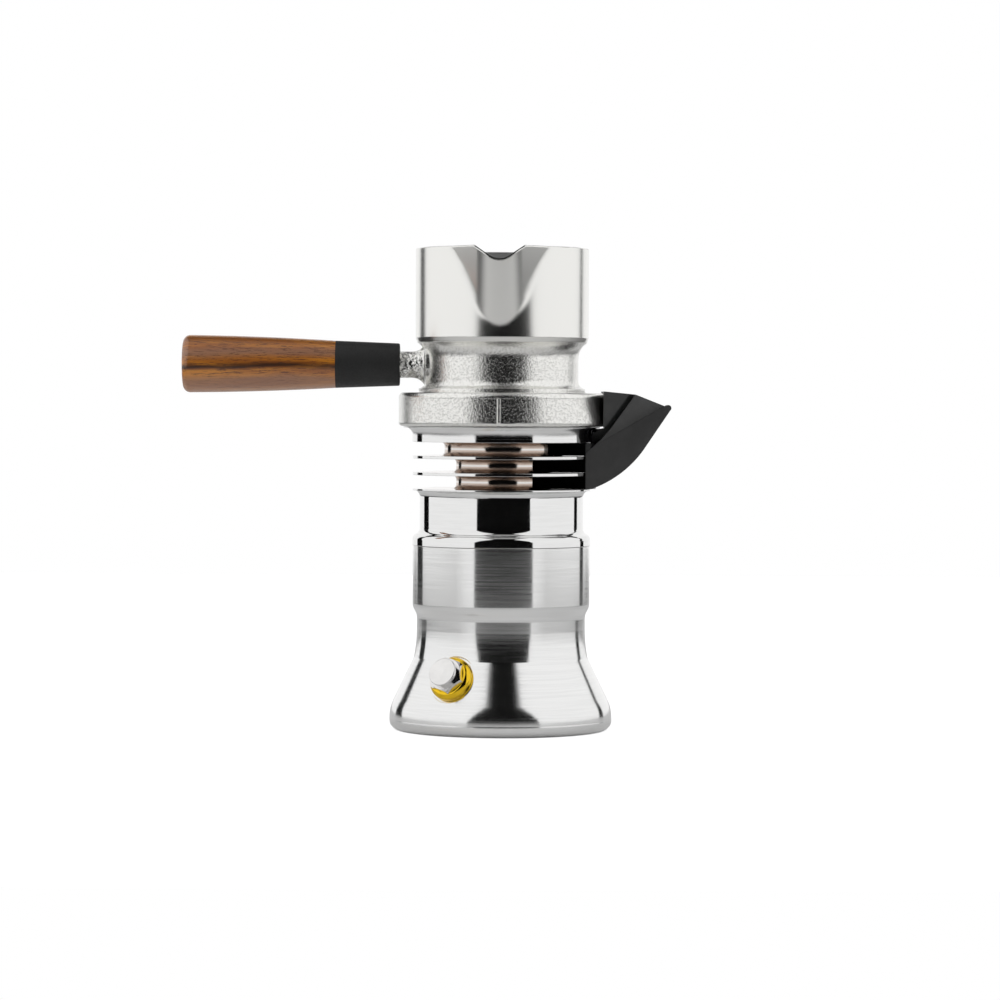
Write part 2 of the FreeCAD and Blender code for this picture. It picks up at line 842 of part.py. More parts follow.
def nose_point(angle):
    # Point on the bead that ends the grip, in its side view.
    return Vector(grip_reach - nose_bead_radius, 0, disc_top + nose_height) + Vector(
        nose_bead_radius * math.cos(math.radians(angle)), 0,
        nose_bead_radius * math.sin(math.radians(angle)))


def side_prism(top_lift):
    # Side view of the grip, drawn across its whole width. The keel is round up to the
    # knee, then straight to the bead, and the rim falls a little towards its corner.
    bottom = disc_top + moving_gap
    inner = root_radius
    rise = (rim_back_height - rim_height) / (rim_reach - funnel_wall_radius)
    lift = Vector(0, 0, top_lift)
    foot = Vector(fin_radius, 0, bottom)
    belly = Vector(keel_belly_reach, 0, disc_top + keel_belly_height)
    knee = Vector(keel_knee_reach, 0, disc_top + keel_knee_height)
    corner = Vector(rim_reach, 0, disc_top + rim_height) + lift
    inner_top = corner + Vector(inner - rim_reach, 0, rise * (rim_reach - inner))
    inner_foot = Vector(inner, 0, bottom)
    bead = [nose_point(nose_start_angle), nose_point(nose_middle_angle) + lift,
            nose_point(nose_end_angle) + lift]
    edges = [
        Part.LineSegment(inner_foot, foot).toShape(),
        Part.Arc(foot, belly, knee).toShape(),
        Part.LineSegment(knee, bead[0]).toShape(),
        Part.Arc(bead[0], bead[1], bead[2]).toShape(),
        Part.LineSegment(bead[2], corner).toShape(),
        Part.LineSegment(corner, inner_top).toShape(),
        Part.LineSegment(inner_top, inner_foot).toShape()]
    face = Part.Face(Part.Wire(edges))
    face.translate(Vector(0, -2 * rim_half_width, 0))
    return face.extrude(Vector(0, 4 * rim_half_width, 0))


def lower_side_plane():
    # Upright lower facet: from the grip's edge on the fins to its blunt nose.
    foot = Vector(math.sqrt(fin_radius ** 2 - grip_half_width ** 2), -grip_half_width, disc_top)
    nose = Vector(grip_reach, -nose_half_width, disc_top)
    run = nose - foot
    normal = Vector(run.y, -run.x, 0)
    normal.normalize()
    return foot, normal


def width_at(reach):
    foot, normal = lower_side_plane()
    return -(foot.y - (reach - foot.x) * normal.x / normal.y)


def upper_side_plane():
    # Upper facet: it leans outwards from the crease to the funnel's rim.
    outer = Vector(crease_outer_reach, -width_at(crease_outer_reach),
                   disc_top + crease_outer_height)
    inner = Vector(crease_inner_reach, -width_at(crease_inner_reach),
                   disc_top + crease_inner_height)
    corner = Vector(rim_reach, -rim_half_width, disc_top + rim_height)
    normal = (outer - inner).cross(corner - inner)
    normal.normalize()
    if normal.y > 0:
        normal = normal * -1
    return inner, normal


def cheek_plane():
    # The wall beside the collar, set back from the edge of the side facets.
    foot = Vector(0, -(width_at(crease_inner_reach) - cheek_step), disc_top + crease_inner_height)
    top = Vector(0, -(rim_half_width - cheek_step), disc_top + rim_height)
    run = top - foot
    normal = Vector(0, -run.z, run.y)
    normal.normalize()
    return foot, normal


def wedge(plane, inset):
    # The space between a side plane and its mirror image, moved in by the inset.
    point, normal = plane
    inner_point = point - normal * inset
    mirrored_point = Vector(inner_point.x, -inner_point.y, inner_point.z)
    mirrored_normal = Vector(normal.x, -normal.y, normal.z)
    half = cutting_block / 2
    block = Part.makeBox(cutting_block, cutting_block, cutting_block,
                         Vector(-half, -half, disc_top - half))
    block = block.cut(half_space(inner_point, normal))
    return block.cut(half_space(mirrored_point, mirrored_normal))


def cheek_prism(offset):
    # Side view of the region that the cheeks fill, inwards of the facets' free edge.
    top = disc_top + rim_height
    above = top + rim_height
    points = [
        Vector(0, 0, disc_top + edge_foot_height),
        Vector(edge_foot_reach - offset, 0, disc_top + edge_foot_height),
        Vector(edge_neck_reach - offset, 0, disc_top + edge_neck_height),
        Vector(edge_shoulder_reach - offset, 0, disc_top + edge_shoulder_height),
        Vector(rim_reach - offset, 0, top),
        Vector(rim_reach - offset, 0, above),
        Vector(0, 0, above)]
    face = Part.Face(Part.makePolygon(points + points[:1]))
    face.translate(Vector(0, -2 * rim_half_width, 0))
    return face.extrude(Vector(0, 4 * rim_half_width, 0))


def body_clearance():
    # Revolved outline of what the grip hugs, from the fins up past the collar.
    inner = ring_radius + moving_gap
    shelf = shelf_radius + moving_gap
    return revolved((0, boiler_height), [
        (inner, boiler_height),
        (inner, ring_bottom + ring_height - 2 * moving_gap),
        (shelf, shelf_top - shelf_edge - 2 * moving_gap),
        (funnel_wall_radius, collar_bottom - 2 * moving_gap),
        (funnel_wall_radius, cup_top),
        (0, cup_top)])


def funnel_cavity():
    # Opens at the top and slopes down to the filler tube.
    width = wedge(lower_side_plane(), grip_wall).fuse(wedge(upper_side_plane(), grip_wall))
    cavity = side_prism(rim_height).common(width)
    narrow = wedge(cheek_plane(), groove_depth + funnel_cheek_wall)
    cavity = cavity.cut(cheek_prism(-funnel_lip_wall).cut(narrow))
    inner = funnel_wall_radius + grip_wall
    outer = grip_reach - grip_wall
    floor = Vector(inner, 0, filler_level - filler_bore)
    slope = Vector(outer - inner, 0, funnel_floor_rise)
    cavity = cavity.cut(half_space(floor, Vector(slope.z, 0, -slope.x)))
    cavity = cavity.cut(half_space(Vector(outer, 0, filler_level), Vector(1, 0, 0)))
    cavity = cavity.cut(half_space(Vector(cheek_end_reach + grip_wall, 0, filler_level),
                                   Vector(-1, 0, 0)))
    return cavity.cut(cylinder(inner, disc_top, cup_top))


def grip():
    sides = wedge(lower_side_plane(), 0).fuse(wedge(upper_side_plane(), 0))
    cheeks = wedge(cheek_plane(), 0)
    groove_floor = wedge(cheek_plane(), groove_depth)
    cheek_zone = cheek_prism(0)
    under_collar = cheek_zone.cut(half_space(Vector(0, 0, collar_bottom), Vector(0, 0, 1)))
    groove_zone = cheek_zone.cut(cheek_prism(groove_width)).fuse(under_collar)
    body = side_prism(0).common(sides)
    body = body.cut(cheek_zone.cut(cheeks))
    body = body.cut(groove_zone.cut(groove_floor))
    body = body.cut(body_clearance()).cut(funnel_cavity())
    # The cheeks stop at the collar's end, so they don't cover it.
    beside_collar = half_space(Vector(0, 0, collar_bottom - 2 * moving_gap), Vector(0, 0, 1))
    body = body.cut(half_space(Vector(cheek_end_reach, 0, collar_bottom),
                               Vector(-1, 0, 0)).common(beside_collar))
    body = body.fuse(grip_tongues())
    body = body.cut(along_x(filler_radius + push_clearance, fin_radius - grip_wall,
                            filler_tube_end, 0, filler_level))
    body = body.cut(along_x(filler_bore, fin_radius, rim_reach, 0, filler_level))
    seat = funnel_wall_radius + grip_wall
    body = body.cut(along_x(filler_seal_radius + push_clearance, seat - filler_seal_length,
                            seat + moving_gap, 0, filler_level))
    for side in (-1, 1):
        hole = along_x(grip_screw_radius + 2 * push_clearance, 0, grip_reach,
                       side * grip_screw_spread, grip_screw_level)
        head = along_x(grip_screw_head_radius + moving_gap, grip_screw_seat,
                       grip_reach, side * grip_screw_spread, grip_screw_level)
        body = body.cut(hole).cut(head)
    return body.removeSplitter()


def grip_tongues():
    # Three tongues that reach between the fins to the root.
    tongues = []
    for gap in range(fin_count + 1):
        root = upper_root_radius if gap == fin_count else root_radius
        low = disc_top + gap * (fin_gap + fin_thickness) + moving_gap
        high = low + fin_gap - 2 * moving_gap
        reach = root + moving_gap
        outer = fin_radius + moving_gap + grip_wall
        tongue = tube(outer, reach, low, high)
        notch = root_fillet
        tongue = tongue.cut(revolved((0, low - overcut), [
            (reach + notch, low - overcut), (reach + notch, low), (reach, low + notch),
            (reach, high - notch), (reach + notch, high), (reach + notch, high + overcut),
            (0, high + overcut)]))
        strip = Part.makeBox(outer, 2 * tongue_half_width, high - low,
                             Vector(0, -tongue_half_width, low))
        tongues.append(tongue.common(strip))
    result = tongues[0]
    for tongue in tongues[1:]:
        result = result.fuse(tongue)
    return result


def grip_screws():
    screws = []
    for side in (-1, 1):
        shank = along_x(grip_screw_radius, grip_screw_tip, grip_screw_seat,
                        side * grip_screw_spread, grip_screw_level)
        head = along_x(grip_screw_head_radius, grip_screw_seat,
                       grip_screw_seat + grip_screw_head_height,
                       side * grip_screw_spread, grip_screw_level)
        screws.append(shank.fuse(head).removeSplitter())
    return Part.makeCompound(screws)


def spout(inset, bottom, top):
    # Leaning prism: a round nose between two flat cheeks, which run back into the cup.
    lean = spout_reach / spout_depth
    nose = spout_nose_radius - inset
    front = cup_radius + lean * (bottom - cup_top + spout_depth)
    turn = math.radians(spout_cheek_angle)
    centre = Vector(0, spout_nose_radius - front, bottom)
    touch = centre + Vector(math.sin(turn), -math.cos(turn), 0) * nose
    tail = touch + Vector(math.cos(turn), math.sin(turn), 0) * spout_cheek_length
    left_touch = Vector(-touch.x, touch.y, bottom)
    left_tail = Vector(-tail.x, tail.y, bottom)
    face = Part.Face(Part.Wire([
        Part.LineSegment(left_tail, left_touch).toShape(),
        Part.Arc(left_touch, centre - Vector(0, nose, 0), touch).toShape(),
        Part.LineSegment(touch, tail).toShape(),
        Part.LineSegment(tail, left_tail).toShape()]))
    return face.extrude(Vector(0, -lean * (top - bottom), top - bottom))


def pouring_notch():
    # Cut across the spout's nose, with straight flanks and a round bottom.
    turn = math.radians(notch_flank_angle)
    front = -(cup_radius + spout_reach + overcut)
    centre = cup_top - notch_depth + notch_round
    low = Vector(notch_round * math.sin(turn), front, centre - notch_round * math.cos(turn))
    top = cup_top + overcut
    high = Vector(low.x + (top - low.z) / math.tan(turn), front, top)
    left_low = Vector(-low.x, front, low.z)
    left_high = Vector(-high.x, front, top)
    face = Part.Face(Part.Wire([
        Part.LineSegment(left_high, left_low).toShape(),
        Part.Arc(left_low, Vector(0, front, cup_top - notch_depth), low).toShape(),
        Part.LineSegment(low, high).toShape(),
        Part.LineSegment(high, left_high).toShape()]))
    return face.extrude(Vector(0, spout_reach + overcut, 0))


def with_spout(vessel, radius, inset, top):
    # Joins the spout to a round vessel, and blends it in where the two meet.
    bottom = cup_top - spout_depth - spout_root
    joined = vessel.fuse(spout(inset, bottom, top))
    meeting = []
    for edge in joined.Edges:
        middle = edge.valueAt((edge.FirstParameter + edge.LastParameter) / 2)
        on_vessel = abs(math.hypot(middle.x, middle.y) - radius) < face_gap
        steep = edge.BoundBox.ZLength > overcut and edge.BoundBox.ZMin > bottom + face_gap
        if on_vessel and steep and middle.y < -overcut:
            meeting.append(edge)
    return joined.makeFillet(spout_blend, meeting).removeSplitter()


def rounded_rim(cup):
    # Rounds the rim and the notch, but not the lines across the wall between them.
    edges = []
    for edge in cup.Edges:
        box = edge.BoundBox
        across = box.XLength < face_gap and box.ZLength < face_gap
        if box.ZMin > cup_top - notch_depth - face_gap and not across:
            edges.append(edge)
    return cup.makeFillet(rim_round, edges)


def towards_spout(shape):
    # Takes a piece built towards -Y round to the spout's direction.
    placed = shape.copy()
    placed.rotate(Vector(0, 0, 0), Vector(0, 0, 1), spout_azimuth + 90)
    return placed


def jug_levels():
    return (collar_top + jug_neck_foot_height, collar_top + jug_neck_base_height,
            collar_top + jug_neck_top_height, collar_top + cup_foot_height)


def jug_outside():
    foot, base, top, cup_foot = jug_levels()
    return revolved((0, collar_bottom), [
        (collar_radius - collar_round, collar_bottom),
        fillet_step((collar_radius - collar_round, collar_bottom), (collar_radius, collar_bottom),
                    (collar_radius, collar_bottom + collar_round)),
        (collar_radius, collar_top - collar_top_drop),
        fillet_step((collar_radius, collar_top - collar_top_drop), (collar_radius, collar_top),
                    (collar_radius - collar_top_width, collar_top)),
        (jug_neck_foot_radius, collar_top),
        (jug_neck_foot_radius, foot),
        fillet_step((jug_neck_foot_radius, foot), (jug_neck_radius, foot),
                    (jug_neck_radius, base)),
        (jug_neck_radius, top),
        (upright_arc_middle((jug_neck_radius, top), (cup_foot_radius, cup_foot)),
         (cup_foot_radius, cup_foot)),
        (cup_radius, cup_foot + cup_taper_height),
        (cup_radius, cup_top),
        (0, cup_top)])


def jug_inside():
    foot, base, top, cup_foot = jug_levels()
    inner_neck = jug_neck_radius - jug_neck_wall
    inner_cup = cup_radius - cup_wall
    return revolved((0, jug_floor_top), [
        (inner_neck - jug_floor_round, jug_floor_top),
        fillet_step((inner_neck - jug_floor_round, jug_floor_top), (inner_neck, jug_floor_top),
                    (inner_neck, jug_floor_top + jug_floor_round)),
        (inner_neck, top),
        (upright_arc_middle((inner_neck, top), (inner_cup, cup_foot + cup_wall)),
         (inner_cup, cup_foot + cup_wall)),
        (inner_cup, cup_top + overcut),
        (0, cup_top + overcut)])


def jug_underside():
    # Room for the drum, the gasket and the screen, and the cone that gathers the coffee.
    roof = collar_top - collar_roof
    screen_top = gasket_top + screen_thickness + push_clearance
    screen_seat = upper_screen_radius + push_clearance
    cone_top = jug_floor_top - jug_floor
    return revolved((0, collar_bottom - overcut), [
        (collar_bore_radius, collar_bottom - overcut),
        (collar_bore_radius, roof),
        (gasket_radius + push_clearance, roof),
        (gasket_radius + push_clearance, gasket_top),
        (screen_seat, gasket_top),
        (screen_seat, screen_top),
        (cone_radius, screen_top),
        (outlet_radius + push_clearance, cone_top),
        (outlet_radius + push_clearance, jug_floor_top),
        (0, jug_floor_top)])


def along_handle(start, steps):
    # A piece turned about the handle's axis: points are (radius, reach from the jug's axis).
    turned = revolved(start, steps)
    turned.rotate(Vector(0, 0, 0), Vector(0, 1, 0), -90)
    turned.translate(Vector(0, 0, handle_height))
    return turned


def handle_rod(radius, start, end):
    return along_handle((0, start), [(radius, start), (radius, end), (0, end)])


def casting_ridge():
    # Flash line of the mould's parting, down the front of the collar.
    half = ridge_width / 2
    radius = (half ** 2 + ridge_rise ** 2) / (2 * ridge_rise)
    ridge = cylinder(radius, collar_bottom + collar_round, collar_top - collar_top_drop)
    ridge.translate(Vector(0, radius - collar_radius - ridge_rise, 0))
    return towards_spout(ridge)


def jug():
    stem = along_handle((0, stem_root_reach), [
        (stem_flare_radius, stem_root_reach),
        (stem_flare_radius, stem_flare_start),
        fillet_step((stem_flare_radius, stem_flare_start), (stem_radius, stem_flare_start),
                    (stem_radius, stem_flare_reach)),
        (stem_radius, stem_reach),
        (0, stem_reach)])
    cavity = with_spout(jug_inside(), cup_radius - cup_wall, cup_wall, cup_top + overcut)
    cup = with_spout(jug_outside(), cup_radius, 0, cup_top).cut(cavity).cut(pouring_notch())
    body = towards_spout(rounded_rim(cup)).fuse(stem.cut(jug_inside())).cut(jug_underside())
    for lug in range(lug_count):
        inner = drum_radius + moving_gap
        top = lug_bottom - moving_gap
        body = body.fuse(sector(inner, (collar_bore_radius + collar_radius) / 2,
                                top - jug_lug_height, top, 360.0 * lug / lug_count, lug_angle))
    body = body.fuse(casting_ridge())
    stud_hole = handle_rod(stud_radius + push_clearance,
                           stem_reach - stud_engagement - stud_end_gap, stem_reach + overcut)
    return body.cut(stud_hole)


def group_gasket():
    return tube(gasket_radius, gasket_inner_radius, gasket_bottom, gasket_top)


def upper_filter_screen():
    top = gasket_top + screen_thickness
    plate = cylinder(upper_screen_radius, gasket_top, top)
    return plate.cut(hole_ring(basket_hole_radius, gasket_top - overcut, top + overcut,
                               basket_hole_rings, basket_hole_pitch))


def coffee_outlet():
    bottom = jug_floor_top - jug_floor
    shoulder = jug_floor_top + outlet_radius
    top = jug_floor_top + outlet_height
    return revolved((outlet_bore_radius, bottom), [
        (outlet_radius, bottom),
        (outlet_radius, shoulder),
        (outlet_tip_radius, shoulder + outlet_radius),
        (outlet_tip_radius, top),
        (outlet_bore_radius, top)])


def coffee_outlet_cap():
    seat = jug_floor_top + outlet_height - outlet_cap_overlap
    top = seat + outlet_cap_height
    cap = cylinder(outlet_cap_radius, seat, top)
    cap = cap.cut(cylinder(outlet_tip_radius + push_clearance, seat, top - outlet_cap_wall))
    level = top - outlet_cap_wall - outlet_hole_radius
    for angle in (45, 135):
        hole = along_x(outlet_hole_radius, -2 * outlet_cap_radius, 2 * outlet_cap_radius, 0, level)
        hole.rotate(Vector(0, 0, 0), Vector(0, 0, 1), angle)
        cap = cap.cut(hole)
    return cap


def handle_ferrule():
    end = stem_reach + ferrule_length
    bore = stud_radius + push_clearance
    return along_handle((bore, stem_reach), [
        (ferrule_radius - ferrule_round, stem_reach),
        fillet_step((ferrule_radius - ferrule_round, stem_reach), (ferrule_radius, stem_reach),
                    (ferrule_radius, stem_reach + ferrule_round)),
        (ferrule_end_radius, end),
        (bore, end)])


def handle_wood():
    start = stem_reach + ferrule_length
    end = start + wood_length
    stud_end = stem_reach - stud_engagement + stud_length
    round_start = end - wood_round
    return along_handle((insert_radius + push_clearance, start), [
        (ferrule_end_radius, start),
        ((wood_middle_radius, start + wood_middle_reach), (wood_end_radius, round_start)),
        fillet_step((wood_end_radius, round_start), (wood_end_radius, end),
                    (wood_end_radius - wood_round, end)),
        (0, end),
        (0, stud_end + stud_end_gap),
        (stud_radius + push_clearance, stud_end + stud_end_gap),
        (stud_radius + push_clearance, start + insert_length),
        (insert_radius + push_clearance, start + insert_length)])


def handle_insert():
    start = stem_reach + ferrule_length
    bore = stud_radius + push_clearance
    return along_handle((bore, start), [(insert_radius, start),
                                        (insert_radius, start + insert_length),
                                        (bore, start + insert_length)])


def handle_stud():
    start = stem_reach - stud_engagement
    return handle_rod(stud_radius, start, start + stud_length)


parts = {}


def write_parts():
    os.makedirs("parts", exist_ok=True)
    for name, shape in parts.items():
        shape.exportStep("parts/" + name + ".step")
        print(name, len(shape.Solids), shape.isValid(), round(shape.Volume, 1))


if __name__ == "__main__":
    parts["lower_boiler"] = lower_boiler()
    parts["boiler_seal_ring"] = boiler_seal_ring()
    parts["safety_valve_washer"] = safety_valve_washer()
    parts["safety_valve_body"] = safety_valve_body()
    parts["safety_valve_cap"] = safety_valve_cap()
    parts["safety_valve_poppet"] = safety_valve_poppet()
    parts["safety_valve_spring"] = safety_valve_spring()
    parts["upper_body"] = upper_body()
    parts["riser_tube"] = riser_tube()
    parts["brew_valve_seat"] = brew_valve_seat()
    parts["brew_valve_poppet"] = brew_valve_poppet()
    parts["brew_valve_spring"] = brew_valve_spring()
    parts["brew_valve_cap"] = brew_valve_cap()
    parts["heat_exchanger_coil"] = heat_exchanger_coil()
    parts["brew_chamber_liner"] = brew_chamber_liner()
    parts["liner_seal"] = liner_seal()
    parts["lower_shower_screen"] = lower_shower_screen()
    parts["filter_basket"] = filter_basket()
    parts["filler_tube"] = filler_tube()
    parts["filler_seal"] = filler_seal()
    parts["grip"] = grip()
    parts["grip_screws"] = grip_screws()
    parts["jug"] = jug()
    parts["group_gasket"] = group_gasket()
    parts["upper_filter_screen"] = upper_filter_screen()
    parts["coffee_outlet"] = coffee_outlet()
    parts["coffee_outlet_cap"] = coffee_outlet_cap()
    parts["handle_ferrule"] = handle_ferrule()
    parts["handle_wood"] = handle_wood()
    parts["handle_insert"] = handle_insert()
    parts["handle_stud"] = handle_stud()
    write_parts()
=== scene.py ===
import bpy
import json
import math
from mathutils import Matrix, Vector

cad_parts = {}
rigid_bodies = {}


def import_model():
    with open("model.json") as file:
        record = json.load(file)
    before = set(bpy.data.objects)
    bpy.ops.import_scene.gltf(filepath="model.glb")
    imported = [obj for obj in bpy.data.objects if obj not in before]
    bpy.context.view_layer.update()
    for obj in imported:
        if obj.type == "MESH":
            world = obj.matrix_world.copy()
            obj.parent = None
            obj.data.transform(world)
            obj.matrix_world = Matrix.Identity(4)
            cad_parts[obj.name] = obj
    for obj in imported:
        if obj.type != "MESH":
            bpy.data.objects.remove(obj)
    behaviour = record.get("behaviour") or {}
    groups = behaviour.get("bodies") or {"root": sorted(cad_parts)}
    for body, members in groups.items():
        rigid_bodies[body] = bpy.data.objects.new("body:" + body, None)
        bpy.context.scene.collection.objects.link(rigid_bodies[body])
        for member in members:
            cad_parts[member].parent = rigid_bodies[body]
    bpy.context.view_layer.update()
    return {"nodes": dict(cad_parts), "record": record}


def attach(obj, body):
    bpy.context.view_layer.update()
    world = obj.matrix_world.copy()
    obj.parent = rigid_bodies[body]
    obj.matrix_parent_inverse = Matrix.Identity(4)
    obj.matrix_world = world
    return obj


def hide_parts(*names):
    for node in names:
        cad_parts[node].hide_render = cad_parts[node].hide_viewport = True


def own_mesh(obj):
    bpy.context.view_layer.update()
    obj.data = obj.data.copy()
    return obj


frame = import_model()
mm = 0.001
print("frame loaded:", len(frame["nodes"]), "nodes")


def addNode(tree, kind, **values):
    # Settings go to the node, and numbers with a socket's name to that socket.
    node = tree.nodes.new(kind)
    for name, value in values.items():
        if name in node.inputs:
            node.inputs[name].default_value = value
        else:
            setattr(node, name, value)
    return node


def newMaterial(name, color, roughness, metallic=0.0, **values):
    material = bpy.data.materials.new(name)
    material.use_nodes = True
    tree = material.node_tree
    tree.nodes.clear()
    output = addNode(tree, "ShaderNodeOutputMaterial")
    shader = addNode(tree, "ShaderNodeBsdfPrincipled")
    shader.inputs["Base Color"].default_value = (*color, 1)
    shader.inputs["Roughness"].default_value = roughness
    shader.inputs["Metallic"].default_value = metallic
    for socket, value in values.items():
        shader.inputs[socket.replace("_", " ")].default_value = value
    tree.links.new(shader.outputs["BSDF"], output.inputs["Surface"])
    return material, tree, shader


def mathNode(tree, operation, first, second=None, third=None):
    node = addNode(tree, "ShaderNodeMath", operation=operation)
    for index, value in enumerate((first, second, third)):
        if value is None:
            continue
        if isinstance(value, (int, float)):
            node.inputs[index].default_value = value
        else:
            tree.links.new(value, node.inputs[index])
    return node.outputs[0]


def product(tree, first, second):
    return mathNode(tree, "MULTIPLY", first, second)


def blend(tree, share, low, high):
    # Low where the share is nought and high where it is one.
    return mathNode(tree, "MULTIPLY_ADD", share, high - low, low)


def weigh(tree, share, first, second):
    # The first value with this share, and the second with the rest.
    return mathNode(tree, "ADD", product(tree, first, share), product(tree, second, 1 - share))


def difference(tree, first, second):
    # How far apart two values are.
    return mathNode(tree, "ABSOLUTE", mathNode(tree, "SUBTRACT", first, second))


def ramp(tree, value, low, high, lowOut=0.0, highOut=1.0):
    node = addNode(tree, "ShaderNodeMapRange", interpolation_type="SMOOTHSTEP")
    limits = {"From Min": low, "From Max": high, "To Min": lowOut, "To Max": highOut}
    for name, number in limits.items():
        node.inputs[name].default_value = number
    tree.links.new(value, node.inputs["Value"])
    return node.outputs["Result"]


def mixColor(tree, share, first, second):
    node = addNode(tree, "ShaderNodeMix", data_type="RGBA", blend_type="MIX")
    for name, value in {"Factor": share, "A": first, "B": second}.items():
        socket = node.inputs[name]
        if isinstance(value, (int, float)):
            socket.default_value = value
        elif isinstance(value, tuple):
            socket.default_value = (*value, 1)
        else:
            tree.links.new(value, socket)
    return node.outputs["Result"]


def objectPoint(tree, scale=(1, 1, 1)):
    place = addNode(tree, "ShaderNodeTexCoord")
    mapping = addNode(tree, "ShaderNodeMapping")
    mapping.inputs["Scale"].default_value = scale
    tree.links.new(place.outputs["Object"], mapping.inputs["Vector"])
    return mapping.outputs["Vector"]


def noise(tree, scale, detail, rough, stretch=(1, 1, 1)):
    # The finishes below give these settings in this order.
    node = addNode(tree, "ShaderNodeTexNoise")
    node.inputs["Scale"].default_value = scale
    node.inputs["Detail"].default_value = detail
    node.inputs["Roughness"].default_value = rough
    tree.links.new(objectPoint(tree, stretch), node.inputs["Vector"])
    return node.outputs["Fac"]


def bump(tree, shader, height, strength, distance, before=None):
    node = addNode(tree, "ShaderNodeBump")
    node.inputs["Strength"].default_value = strength
    node.inputs["Distance"].default_value = distance
    tree.links.new(height, node.inputs["Height"])
    if before is not None:
        tree.links.new(before, node.inputs["Normal"])
    tree.links.new(node.outputs["Normal"], shader.inputs["Normal"])
    return node.outputs["Normal"]


def softEdges(tree, radius):
    # Normals that turn smoothly over the sharp edges.
    node = addNode(tree, "ShaderNodeBevel", samples=6)
    if isinstance(radius, float):
        node.inputs["Radius"].default_value = radius
    else:
        tree.links.new(radius, node.inputs["Radius"])
    return node.outputs["Normal"]


def setColor(tree, shader, color):
    tree.links.new(color, shader.inputs["Base Color"])


def plainColor(shader):
    # What the base colour is linked to so far.
    return shader.inputs["Base Color"].links[0].from_socket


def placeOf(tree):
    # The point's X, Y and Z.
    place = addNode(tree, "ShaderNodeTexCoord")
    split = addNode(tree, "ShaderNodeSeparateXYZ")
    tree.links.new(place.outputs["Object"], split.inputs["Vector"])
    return tuple(split.outputs[axis] for axis in "XYZ")


def awayOf(tree, x, y):
    # The point's distance from the upright axis.
    squares = mathNode(tree, "ADD", product(tree, x, x), product(tree, y, y))
    return mathNode(tree, "SQRT", squares)


def between(tree, value, low, high):
    # One between the two values and nought elsewhere.
    above = mathNode(tree, "GREATER_THAN", value, low)
    below = mathNode(tree, "LESS_THAN", value, high)
    return product(tree, above, below)


def dress(node, material):
    # Gives a CAD node its finish.
    piece = frame["nodes"][node]
    piece.data.materials.clear()
    piece.data.materials.append(material)


studio = {
    "cameraDistance": 1.584,
    "eyeHeight": 0.141,
    "aimHeight": 0.0982,
    "aimSide": -0.0006,
    "lens": 133.2,
    "sensorWidth": 36,
    "clip": (0.05, 30),
    "rollDegrees": 0.27,
    "panelGlow": 1.0,
    "backGlow": 1.0,
    "gapGlow": 0.003,
    "ceilingGlow": 0.5,
    "ceilingSpan": (0.88, 1.0),
    "floorColor": (0.9, 0.9, 0.9),
    "floorGlow": 0.62,
    "floorNear": 0.92,
    "floorFar": 0.8,
    "floorFade": (0.08, 0.32),
    "floorShadeLeft": 0.96,
    "floorShadeRight": 0.8,
    "floorSideFade": (0.3, 0.62),
    "floorFront": 0.52,
    "floorBack": 1.38,
    "floorHalf": 0.9,
    "panelNear": -1.15,
    "panelFar": 0.75,
    "panelFrontLeft": 40.0,
    "panelFrontRight": 45.0,
    "panelBack": 120.0,
    "backLightDepth": 1.4,
    "backLightLeft": 139.0,
    "backLightRight": 133.0,
    "panelLean": 0.6,
    "panelLow": -0.35,
    "panelHigh": 1.5,
    "backHigh": 1.1,
}


def addCamera():
    data = bpy.data.cameras.new("camera")
    data.sensor_width = studio["sensorWidth"]
    data.lens = studio["lens"]
    data.clip_start, data.clip_end = studio["clip"]
    camera = bpy.data.objects.new("camera", data)
    bpy.context.scene.collection.objects.link(camera)
    eye = Vector((studio["aimSide"], -studio["cameraDistance"], studio["eyeHeight"]))
    aim = Vector((studio["aimSide"], 0, studio["aimHeight"]))
    turn = (aim - eye).to_track_quat("-Z", "Y").to_matrix().to_4x4()
    roll = Matrix.Rotation(math.radians(studio["rollDegrees"]), 4, "Z")
    camera.matrix_world = Matrix.Translation(eye) @ turn @ roll
    bpy.context.scene.camera = camera


def addPanel(name, corners, glow):
    # Soft box between four points: lower front, lower back, upper back, upper front.
    front, back, backTop, frontTop = (Vector(c) for c in corners)
    centre = (front + back + backTop + frontTop) / 4
    along = ((back + backTop) - (front + frontTop)) / 2
    up = ((backTop + frontTop) - (back + front)) / 2
    xAxis = along.normalized()
    normal = xAxis.cross(up).normalized()
    if normal.dot(-centre) > 0:
        normal = -normal
    yAxis = normal.cross(xAxis)
    data = bpy.data.lights.new(name, "AREA")
    data.shape = "RECTANGLE"
    data.size = along.length
    data.size_y = up.length
    data.energy = glow * math.pi * along.length * up.length
    lamp = bpy.data.objects.new(name, data)
    bpy.context.scene.collection.objects.link(lamp)
    axes = Matrix((xAxis, yAxis, normal)).transposed().to_4x4()
    lamp.matrix_world = Matrix.Translation(centre) @ axes
    lamp.visible_camera = False
    return lamp


def placeAt(azimuth, side, depth):
    # Foot of a panel at an azimuth from the camera's side, at a given depth.
    return Vector((side * abs(depth * math.tan(math.radians(azimuth))), depth, studio["panelLow"]))


